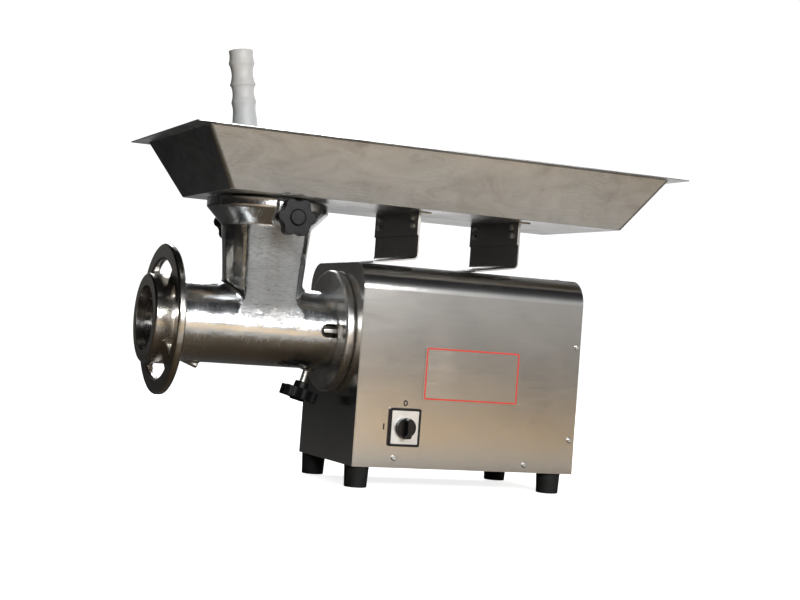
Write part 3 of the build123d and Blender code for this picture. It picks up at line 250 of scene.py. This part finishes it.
# ------------------------------------------------------------------ materials
class Finish:
    """A procedural Principled material, built from noise in the object's own coordinates (metres)."""

    def __init__(self, name, colour, metallic=0.0, roughness=0.5, **fixed):
        self.slot = name
        self.material = bpy.data.materials.new("look_" + name)
        self.material.use_nodes = True
        self.tree = self.material.node_tree
        self.shader = self.tree.nodes["Principled BSDF"]
        self.shader.inputs["Base Color"].default_value = (*colour, 1)
        self.shader.inputs["Metallic"].default_value = metallic
        self.shader.inputs["Roughness"].default_value = roughness
        for socket, value in fixed.items():
            self.shader.inputs[socket.replace("_", " ")].default_value = value
        self.where = self.tree.nodes.new("ShaderNodeTexCoord")
        self.normal = None

    def new(self, kind, **values):
        node = self.tree.nodes.new(kind)
        for key, value in values.items():
            setattr(node, key, value)
        return node

    def grain(self, scale, stretch=(1, 1, 1), detail=4.0, roughness=0.55, distortion=0.0, offset=0.0):
        """Noise, as a 0..1 socket. scale is features per metre, and stretch multiplies it along each axis."""
        place = self.new("ShaderNodeMapping")
        place.inputs["Scale"].default_value = [scale * s for s in stretch]
        place.inputs["Location"].default_value = (offset, offset * 0.7, -offset)
        self.tree.links.new(self.where.outputs["Object"], place.inputs["Vector"])
        source = self.new("ShaderNodeTexNoise")
        source.inputs["Scale"].default_value = 1.0
        source.inputs["Detail"].default_value = detail
        source.inputs["Roughness"].default_value = roughness
        source.inputs["Distortion"].default_value = distortion
        self.tree.links.new(place.outputs[0], source.inputs["Vector"])
        return source.outputs["Fac"]

    def ramp(self, value, *stops):
        """A 0..1 socket taken through (place, colour) stops, where a colour may be one number."""
        node = self.new("ShaderNodeValToRGB")
        fill_ramp(node, [(p, c if hasattr(c, "__len__") else (c, c, c)) for p, c in stops])
        self.tree.links.new(value, node.inputs[0])
        return node.outputs[0]

    def level(self, value, low, high, start=0.0, end=1.0):
        """A socket taken from start..end to low..high."""
        return remapped(self.tree, value, start, end, low, high)

    def blend(self, first, second, amount):
        """Mix two colours, each a socket or (r, g, b)."""
        return colour_mix(self.tree, amount, first, second)

    def combine(self, first, second, how="ADD"):
        """Arithmetic on two sockets, or a socket and a number."""
        node = self.new("ShaderNodeMath", operation=how)
        for index, value in enumerate((first, second)):
            if hasattr(value, "node"):
                self.tree.links.new(value, node.inputs[index])
            else:
                node.inputs[index].default_value = value
        return node.outputs[0]

    def size_of(self, value):
        """A socket without its sign."""
        node = self.new("ShaderNodeMath", operation="ABSOLUTE")
        self.tree.links.new(value, node.inputs[0])
        return node.outputs[0]

    def mixed(self, first, second, amount):
        """Mix two number sockets."""
        node = self.new("ShaderNodeMix", data_type="FLOAT")
        for index, value in ((0, amount), (2, first), (3, second)):
            self.tree.links.new(value, node.inputs[index])
        return node.outputs[0]

    def axis(self, name):
        """One coordinate of the point, in metres."""
        node = self.new("ShaderNodeSeparateXYZ")
        self.tree.links.new(self.where.outputs["Object"], node.inputs[0])
        return node.outputs[name]

    def worn(self, low=0.46, high=0.56):
        """1 on outer edges and corners, from the mesh's pointiness."""
        shape = self.new("ShaderNodeNewGeometry")
        return self.level(shape.outputs["Pointiness"], 0, 1, low, high)

    def set(self, socket, value):
        self.tree.links.new(value, self.shader.inputs[socket])

    def bump(self, height, distance, strength=1.0):
        """Add a bump; later bumps ride on earlier ones."""
        node = self.new("ShaderNodeBump")
        node.inputs["Distance"].default_value = distance
        node.inputs["Strength"].default_value = strength
        self.tree.links.new(height, node.inputs["Height"])
        if self.normal:
            self.tree.links.new(self.normal, node.inputs["Normal"])
        self.normal = node.outputs[0]
        self.tree.links.new(self.normal, self.shader.inputs["Normal"])


def times(colour, factor):
    """A colour made lighter or darker, and never over 1."""
    return tuple(min(1.0, c * factor) for c in colour)


def toward(colour, grey, share):
    """A colour moved part of the way to a grey."""
    return tuple(c + (grey - c) * share for c in colour)


def brushed(name, colour, roughness, stretch, shade=0.12, smudge=0.10, fine=2600, wave=0.0):
    """Brushed sheet steel: fine lines along the axis with the small stretch, and handling smudges."""
    finish = Finish(name, colour, 1.0, roughness)
    lines = finish.grain(fine, stretch, detail=3, roughness=0.7)
    broad = finish.grain(6, (1, 1, 1), detail=4, roughness=0.6, distortion=0.4, offset=3.1)
    light = times(colour, 1 + shade)
    streaked = finish.ramp(lines, (0.3, times(colour, 1 - shade)), (0.7, light))
    stained = finish.ramp(broad, (0.35, times(colour, 0.90)), (0.65, light))
    finish.set("Base Color", finish.blend(streaked, stained, 0.45))
    rough = finish.combine(finish.level(lines, roughness - 0.05, roughness + 0.06, 0.3, 0.7),
                           finish.level(broad, -smudge / 2, smudge / 2, 0.3, 0.7))
    finish.set("Roughness", rough)
    if wave:
        finish.bump(finish.grain(9, (1, 1, 1), detail=1, offset=8.0), wave)
    finish.bump(lines, 0.03 * MM, 0.6)
    return finish


def cast(name, colour, roughness, coarse=0.35 * MM, depth=0.28):
    """A tumbled casting: pitted, mottled skin with brighter edges."""
    finish = Finish(name, colour, 1.0, roughness)
    skin = finish.grain(420, (1, 1, 1), detail=6, roughness=0.7, distortion=0.3)
    pits = finish.grain(900, (1, 1, 1), detail=3, roughness=0.6, offset=5.0)
    broad = finish.grain(28, (1, 1, 1), detail=5, roughness=0.6, offset=1.7)
    light = times(colour, 1 + depth * 0.8)
    mottled = finish.ramp(skin, (0.30, times(colour, 1 - depth)), (0.5, colour), (0.72, light))
    stained = finish.ramp(broad, (0.3, times(colour, 0.82)), (0.7, light))
    finish.set("Base Color", finish.blend(finish.blend(mottled, stained, 0.4), light, finish.worn()))
    rough = finish.combine(finish.level(skin, roughness - depth * 0.3, roughness + depth * 0.4, 0.3, 0.7),
                           finish.level(broad, -0.05, 0.05, 0.3, 0.7))
    finish.set("Roughness", rough)
    finish.bump(finish.ramp(skin, (0.25, 0.0), (0.75, 1.0)), coarse)
    finish.bump(finish.ramp(pits, (0.35, 0.0), (0.6, 1.0)), coarse * 0.35)
    return finish


def head_casting(name, colour):
    """The grinding head: belt-ground bright all round, but left rough as cast on the neck's two flanks."""
    finish = Finish(name, colour, 1.0, 0.2)
    across_neck = finish.combine(finish.axis("X"), -NECK_X)
    out = finish.combine(finish.size_of(finish.axis("Y")), LEAST_OUT, "MAXIMUM")
    turn = finish.size_of(finish.combine(across_neck, out, "DIVIDE"))
    fringe = finish.grain(55, (1, 1, 1), detail=3, offset=9.0)
    turn = finish.combine(turn, finish.level(fringe, -0.03, 0.03, 0.3, 0.7))
    flank = finish.level(turn, 1.0, 0.0, 0.82, 0.94)
    rise = finish.combine(finish.axis("Z"), finish.level(fringe, -6 * MM, 6 * MM, 0.3, 0.7))
    above = finish.level(rise, 0.0, 1.0, AXIS_Z + 4 * MM, AXIS_Z + 34 * MM)
    below = finish.level(finish.axis("Z"), 1.0, 0.0, FLANK_TOP_Z, FLANK_TOP_Z + 4 * MM)
    rough_zone = finish.combine(finish.combine(flank, above, "MULTIPLY"), below, "MULTIPLY")
    sand = finish.grain(210, (0.55, 0.55, 1.9), detail=5, roughness=0.75, distortion=0.6)
    fine = finish.grain(700, (1, 1, 1), detail=4, roughness=0.7, offset=4.0)
    broad = finish.grain(22, (1, 1, 1), detail=4, roughness=0.6, offset=1.7)
    lines = finish.grain(900, (1, 0.06, 0.06), detail=3, roughness=0.7, offset=2.0)
    light = times(colour, 1.20)
    ground = finish.blend(finish.ramp(lines, (0.3, times(colour, 0.88)), (0.7, light)),
                          finish.ramp(broad, (0.3, times(colour, 0.80)), (0.7, light)), 0.5)
    as_cast = finish.ramp(sand, (0.30, times(colour, 0.52)), (0.5, colour), (0.68, light))
    finish.set("Base Color", finish.blend(finish.blend(ground, as_cast, rough_zone), light,
                                          finish.level(finish.worn(), 0, 0.7)))
    polish = finish.combine(finish.level(lines, 0.15, 0.25, 0.3, 0.7),
                            finish.level(broad, -0.05, 0.07, 0.3, 0.7))
    grit = finish.level(sand, 0.26, 0.42, 0.3, 0.7)
    finish.set("Roughness", finish.mixed(polish, grit, rough_zone))
    finish.bump(finish.combine(sand, rough_zone, "MULTIPLY"), 3.6 * MM)
    finish.bump(fine, 0.05 * MM)
    finish.bump(finish.ramp(broad, (0.3, 0.0), (0.7, 1.0)), 0.6 * MM)
    finish.bump(lines, 0.02 * MM)
    return finish


def turned_metal(name, colour, roughness, depth=0.02 * MM):
    """Machined or ground metal with fine tool marks and light handling marks."""
    finish = Finish(name, colour, 1.0, roughness)
    marks = finish.grain(2200, (1, 0.15, 0.15), detail=3, roughness=0.7)
    broad = finish.grain(40, (1, 1, 1), detail=5, roughness=0.65, offset=2.2)
    dark, light = times(colour, 0.78), times(colour, 1.15)
    base = finish.blend(finish.ramp(marks, (0.3, dark), (0.7, light)),
                        finish.ramp(broad, (0.3, dark), (0.7, light)), 0.5)
    finish.set("Base Color", finish.blend(base, light, finish.worn()))
    finish.set("Roughness", finish.combine(finish.level(marks, roughness - 0.05, roughness + 0.08, 0.3, 0.7),
                                           finish.level(broad, -0.05, 0.08, 0.3, 0.7)))
    finish.bump(marks, depth)
    return finish


def flange_metal_with_painted_shade(name, colour, roughness):
    """The drive flange: turned metal, its narrow front spigot painted near-black as shade where the head
    slides over it.
    """
    finish = turned_metal(name, colour, roughness)
    bright = finish.shader.inputs["Base Color"].links[0].from_socket
    reach = finish.new("ShaderNodeVectorMath", operation="LENGTH")
    offset = finish.new("ShaderNodeVectorMath", operation="MULTIPLY_ADD")
    offset.inputs[1].default_value = (0, 1, 1)
    offset.inputs[2].default_value = (0, 0, -AXIS_Z)
    finish.tree.links.new(finish.where.outputs["Object"], offset.inputs[0])
    finish.tree.links.new(offset.outputs["Vector"], reach.inputs[0])
    # painted shade: within 45 to 47 mm of the axis the flange gets a near-black colour, standing for the
    # shade deep in the head's socket
    shaded_nose = finish.level(reach.outputs["Value"], 1.0, 0.0, 45 * MM, 47 * MM)
    finish.set("Base Color", finish.blend(bright, (0.02, 0.018, 0.015), shaded_nose))
    return finish


def moulded(name, colour, roughness, grain=1500, depth=0.03 * MM, dust=0.10, coat=0.0, shine=0.5):
    """Moulded plastic, rubber or paint: fine grain, a little dust, rubbed edges."""
    finish = Finish(name, colour, 0.0, roughness, Coat_Weight=coat, Coat_Roughness=0.08,
                    Specular_IOR_Level=shine)
    fine = finish.grain(grain, (1, 1, 1), detail=4, roughness=0.6)
    broad = finish.grain(60, (1, 1, 1), detail=5, roughness=0.65, offset=4.0)
    mottled = finish.ramp(broad, (0.35, colour), (0.75, toward(colour, 0.5, dust)))
    finish.set("Base Color", finish.blend(mottled, toward(colour, 0.6, dust),
                                          finish.level(finish.worn(0.50, 0.60), 0, 0.6)))
    finish.set("Roughness", finish.combine(finish.level(fine, roughness - 0.05, roughness + 0.07, 0.3, 0.7),
                                           finish.level(broad, -0.05, 0.07, 0.3, 0.7)))
    finish.bump(fine, depth)
    return finish


def make_finishes():
    """One finish for each material slot of the record."""
    panel = brushed("panel_steel", (0.60, 0.59, 0.57), 0.17, (0.008, 1, 1), shade=0.03, smudge=0.05,
                    fine=4200, wave=0.5 * MM)
    tray = brushed("tray_steel", (0.50, 0.478, 0.445), 0.31, (0.006, 1, 1), shade=0.05, smudge=0.16,
                   fine=1800, wave=1.2 * MM)
    clouds = tray.grain(14, (1, 1, 2.2), detail=6, roughness=0.65, distortion=0.8, offset=6.0)
    tray.set("Base Color", tray.ramp(clouds, (0.32, (0.43, 0.435, 0.44)), (0.5, (0.545, 0.56, 0.575)),
                                     (0.68, (0.61, 0.63, 0.65))))
    bracket = brushed("bracket_steel", (0.34, 0.33, 0.32), 0.34, (1, 0.004, 1), shade=0.12)
    label = brushed("label_plate", (0.58, 0.56, 0.53), 0.20, (0.008, 1, 1), shade=0.03, smudge=0.05,
                    fine=4200)
    galvanised = brushed("galvanised", (0.55, 0.56, 0.57), 0.42, (1, 1, 1), shade=0.16, fine=160)
    casting = head_casting("cast_aluminium", (0.67, 0.69, 0.705))
    nut = cast("nut_metal", (0.50, 0.485, 0.455), 0.22, coarse=0.04 * MM, depth=0.10)
    iron = cast("case_iron", (0.20, 0.21, 0.22), 0.55)
    iron.shader.inputs["Metallic"].default_value = 0.6
    finishes = [
        panel, tray, bracket, label, galvanised, casting, nut, iron,
        moulded("motor_paint", (0.05, 0.09, 0.13), 0.35, grain=500, depth=0.06 * MM, coat=0.3),
        flange_metal_with_painted_shade("machined_aluminium", (0.58, 0.575, 0.56), 0.30),
        turned_metal("bright_steel", (0.72, 0.72, 0.72), 0.16),
        turned_metal("screw_steel", (0.60, 0.60, 0.585), 0.28),
        turned_metal("dark_steel", (0.16, 0.16, 0.17), 0.34),
        turned_metal("bronze", (0.62, 0.42, 0.20), 0.34),
        turned_metal("copper", (0.62, 0.27, 0.12), 0.36, depth=0.2 * MM),
        turned_metal("legend_silver", (0.64, 0.635, 0.61), 0.34),
        moulded("black_rubber", (0.009, 0.009, 0.009), 0.62, grain=900, depth=0.08 * MM, dust=0.03,
                shine=0.2),
        moulded("knob_black", (0.005, 0.005, 0.006), 0.33, grain=700, depth=0.04 * MM, dust=0.008,
                shine=0.13),
        moulded("switch_black", (0.006, 0.006, 0.008), 0.20, grain=900, depth=0.01 * MM, dust=0.01,
                shine=0.4),
        moulded("bezel_black", (0.008, 0.008, 0.009), 0.30, grain=1800, dust=0.01, shine=0.3),
        moulded("inner_plastic", (0.045, 0.045, 0.045), 0.45),
        moulded("pusher_plastic", (0.60, 0.61, 0.61), 0.42, grain=800, depth=0.04 * MM, dust=-0.12),
        moulded("mark_black", (0.006, 0.006, 0.006), 0.6, dust=0.01, shine=0.1),
        moulded("mark_red", (0.70, 0.045, 0.025), 0.5, dust=0.02, shine=0.3),
    ]
    return {finish.slot: finish.material for finish in finishes}


# ------------------------------------------------------------------ piece helpers
def paint(piece, slot):
    piece.data.materials.clear()
    piece.data.materials.append(FINISHES[slot])


def place(mesh, name, body, slot, replaced=()):
    """Put a finished mesh in the scene: its body, its finish, and the CAD nodes that it stands for."""
    piece = bpy.data.objects.new(name, mesh)
    bpy.context.scene.collection.objects.link(piece)
    paint(piece, slot)
    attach(piece, body)
    if replaced:
        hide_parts(*replaced)
    return piece


def welded(node):
    """A copy of a CAD node's mesh with its split edges joined and its flat faces made whole."""
    mesh = bpy.data.meshes.new(node + "_skin")
    work = bmesh.new()
    work.from_mesh(NODES[node].data)
    bmesh.ops.remove_doubles(work, verts=work.verts, dist=0.01 * MM)
    bmesh.ops.dissolve_limit(work, angle_limit=math.radians(0.4), verts=work.verts, edges=work.edges)
    bmesh.ops.recalc_face_normals(work, faces=work.faces)
    work.to_mesh(mesh)
    work.free()
    return mesh


def applied(piece):
    """Turn a piece's modifiers into mesh."""
    graph = bpy.context.evaluated_depsgraph_get()
    mesh = bpy.data.meshes.new_from_object(piece.evaluated_get(graph))
    old = piece.data
    piece.modifiers.clear()
    piece.data = mesh
    bpy.data.meshes.remove(old)
    return mesh


def eased(node, width, segments=2):
    """A CAD node with its sharp edges rounded over by width (mm), as real sheet and castings are."""
    mesh = welded(node)
    mesh.shade_smooth()
    mesh.set_sharp_from_angle(angle=math.radians(32))
    piece = bpy.data.objects.new(node + "_work", mesh)
    bpy.context.scene.collection.objects.link(piece)
    bevel = piece.modifiers.new("bevel", "BEVEL")
    bevel.width = width * MM
    bevel.segments = segments
    bevel.limit_method = "ANGLE"
    bevel.angle_limit = math.radians(28)
    bevel.use_clamp_overlap = True
    bevel.face_strength_mode = "FSTR_AFFECTED"
    flatten = piece.modifiers.new("flatten", "WEIGHTED_NORMAL")
    flatten.use_face_influence = True
    flatten.keep_sharp = True
    mesh = applied(piece)
    bpy.data.objects.remove(piece)
    mesh.name = node + "_skin"
    place(mesh, node + "_skin", BODY_OF[node], SLOT_OF[node], (node,))


def skinned(node, voxel, rounds, shape=None, melt=None):
    """A CAD node rebuilt as one even skin of voxel (mm), its corners softened, then shaped point by point.

    melt gives, for a point, how strongly the skin is smoothed there. shape gives how far it moves out.
    """
    mesh = welded(node)
    piece = bpy.data.objects.new(node + "_work", mesh)
    bpy.context.scene.collection.objects.link(piece)
    remesh = piece.modifiers.new("remesh", "REMESH")
    remesh.mode = "VOXEL"
    remesh.voxel_size = voxel * MM
    soften = piece.modifiers.new("soften", "SMOOTH")
    soften.factor = 0.5
    soften.iterations = rounds
    mesh = applied(piece)
    if melt:
        area = piece.vertex_groups.new(name="melt")
        for vertex in mesh.vertices:
            weight = melt(vertex.co)
            if weight > 0:
                area.add([vertex.index], weight, "REPLACE")
        ease = piece.modifiers.new("ease", "SMOOTH")
        ease.factor = 0.5
        ease.iterations = 45
        ease.vertex_group = "melt"
        mesh = applied(piece)
        piece.vertex_groups.clear()
    bpy.data.objects.remove(piece)
    if shape:
        normals = [v.normal.copy() for v in mesh.vertices]
        for vertex, normal in zip(mesh.vertices, normals):
            vertex.co += normal * shape(vertex.co, normal)
    mesh.shade_smooth()
    place(mesh, node + "_skin", BODY_OF[node], SLOT_OF[node], (node,))


# ------------------------------------------------------------------ grinding head
def held(value):
    """A number kept within 0 and 1."""
    return min(1.0, max(0.0, value))


def cast_skin(point, normal):
    """How far the casting's outer skin stands off its nominal surface: rough flanks, slow waves elsewhere."""
    from_axis = math.hypot(point.y, point.z - AXIS_Z)
    from_neck = math.hypot(point.x - NECK_X, point.y)
    inside = from_axis < BARREL_R - 3 * MM and (from_neck < NECK_INNER_R or point.z < AXIS_Z + 40 * MM)
    if inside or from_neck < NECK_INNER_R + 0.5 * MM and point.z > AXIS_Z + 60 * MM:
        return 0.0
    waves = 0.10 * MM * noise.noise(Vector((point.x * 38, point.y * 38, point.z * 38))) - 0.06 * MM
    if abs(from_axis - BARREL_R) < 1.2 * MM and abs(point.x - NECK_X) > 70 * MM:
        return 0.4 * waves
    turn = abs(point.x - NECK_X) / max(abs(point.y), LEAST_OUT)
    flank = held((0.92 - turn) / 0.12) * held((point.z - AXIS_Z - 20 * MM) / (25 * MM))
    if point.z > FLANK_TOP_Z:
        flank = 0.0
    grit = noise.fractal(Vector((point.x * 120, point.y * 120, point.z * 400)), 0.8, 2.1, 4)
    return waves + flank * (0.24 * MM * grit + 0.10 * MM)


def join_weight(point):
    """1 where the neck's outside meets the barrel's, falling to 0 a little way off."""
    from_axis = math.hypot(point.y, point.z - AXIS_Z)
    from_neck = math.hypot(point.x - NECK_X, point.y)
    if from_axis < BARREL_R - 2.5 * MM or from_neck < NECK_INNER_R or point.z < AXIS_Z - 8 * MM:
        return 0.0
    away = math.hypot(max(0.0, from_axis - BARREL_R - 2 * MM), max(0.0, from_neck - BARREL_R - 2 * MM))
    return held(1.5 - away / (11 * MM))


def make_head():
    skinned("grinder_head", 1.5, 3, shape=cast_skin, melt=join_weight)
    eased("drive_flange", 0.8, 3)
    eased("flange_key", 0.3)
    eased("ring_nut", 0.7, 3)
    eased("handwheel", 0.6, 2)
    eased("hole_plate", 0.3)
    eased("feed_screw", 0.5)
    eased("knife", 0.3)
    for knob in ("collar_knob_near", "collar_knob_far", "lock_knob"):
        skinned(knob, 0.55, 3)
    for rod in ("collar_stud_near", "collar_stud_far", "lock_stud"):
        eased(rod, 0.2)


# ------------------------------------------------------------------ tray, brackets and pusher
def make_tray():
    eased("feed_tray", 0.45, 2)
    eased("tray_tube", 0.3)
    for name in ("bracket_front_upper", "bracket_front_lower", "bracket_rear_upper", "bracket_rear_lower"):
        eased(name, 0.4, 2)
    eased("bracket_bolts", 0.35)
    skinned("pusher", 1.0, 2)


# ------------------------------------------------------------------ housing and switch
def make_housing():
    for name in ("wrap_cover", "front_panel", "rear_panel", "base_plate"):
        eased(name, 0.35, 2)
    eased("rubber_feet", 0.8, 3)
    eased("housing_screws", 0.18, 2)
    eased("switch_bezel", 0.6, 3)
    eased("switch_legend", 0.12)
    eased("switch_knob", 0.9, 4)
    eased("side_label", 0.15)
    eased("power_inlet", 0.4, 2)


def slab(work, corners, back, front):
    """A closed slab between two Y depths, from (x, z) corners in order."""
    rear = [work.verts.new((x, back, z)) for x, z in corners]
    face = [work.verts.new((x, front, z)) for x, z in corners]
    work.faces.new(face)
    work.faces.new(list(reversed(rear)))
    count = len(corners)
    for i in range(count):
        j = (i + 1) % count
        work.faces.new((face[j], face[i], rear[i], rear[j]))


def finish_mesh(work, name):
    bmesh.ops.remove_doubles(work, verts=work.verts, dist=0.001 * MM)
    bmesh.ops.recalc_face_normals(work, faces=work.faces)
    mesh = bpy.data.meshes.new(name)
    work.to_mesh(mesh)
    work.free()
    return mesh


def rounded_loop(centre, half, corner):
    """The outline of a rounded rectangle, as (x, z) points."""
    steps = 6
    points = []
    for quarter, (sx, sz) in enumerate(((1, 1), (-1, 1), (-1, -1), (1, -1))):
        for step in range(steps + 1):
            angle = math.pi / 2 * (quarter + step / steps)
            points.append((centre[0] + sx * (half[0] - corner) + corner * math.cos(angle),
                           centre[1] + sz * (half[1] - corner) + corner * math.sin(angle)))
    return points


def frame_mesh(name, centre, half, corner, wide, back, front):
    """A thin raised border round a rounded rectangle."""
    work = bmesh.new()
    outer = rounded_loop(centre, half, corner)
    inner = rounded_loop(centre, (half[0] - wide, half[1] - wide), corner - wide)
    count = len(outer)
    rings = [[work.verts.new((x, y, z)) for x, z in loop]
             for loop, y in ((outer, back), (outer, front), (inner, front), (inner, back))]
    for k in range(4):
        here, there = rings[k], rings[(k + 1) % 4]
        for i in range(count):
            j = (i + 1) % count
            work.faces.new((here[i], here[j], there[j], there[i]))
    return finish_mesh(work, name)


def make_marks():
    """Printed marks: a border on the side label, and a nought and a one on the panel beside the switch."""
    low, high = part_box("side_label")
    inset, line = 2.2 * MM, 2.2 * MM
    centre = ((low.x + high.x) / 2, (low.z + high.z) / 2)
    half = ((high.x - low.x) / 2 - inset, (high.z - low.z) / 2 - inset)
    border = frame_mesh("label_border", centre, half, 2.8 * MM, line, low.y + 0.02 * MM, low.y - 0.06 * MM)
    place(border, "label_border", "base", "mark_red")
    low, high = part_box("switch_bezel")
    panel_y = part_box("wrap_cover")[0].y
    back, front = panel_y + 0.02 * MM, panel_y - 0.05 * MM
    away, tall = 7 * MM, 4.2 * MM
    nought_wide, one_wide, line = 3.3 * MM, 1.0 * MM, 1.8 * MM
    nought = frame_mesh("mark_nought", ((low.x + high.x) / 2, high.z + away), (nought_wide, tall),
                        nought_wide - 0.01 * MM, line, back, front)
    place(nought, "mark_nought", "base", "mark_black")
    x, z = low.x - away, (low.z + high.z) / 2
    work = bmesh.new()
    corners = [(x + one_wide * i, z + tall * j) for i, j in ((-1, -1), (1, -1), (1, 1), (-1, 1))]
    slab(work, corners, back, front)
    place(finish_mesh(work, "mark_one"), "mark_one", "base", "mark_black")


def paint_the_rest():
    """The CAD nodes that stay in view keep their shape and get their slot's finish."""
    for node, piece in NODES.items():
        if not piece.hide_render:
            paint(piece, SLOT_OF[node])


FINISHES = make_finishes()
make_camera()
make_world()
make_lights()
make_floor()
make_head()
make_tray()
make_housing()
make_marks()
paint_the_rest()
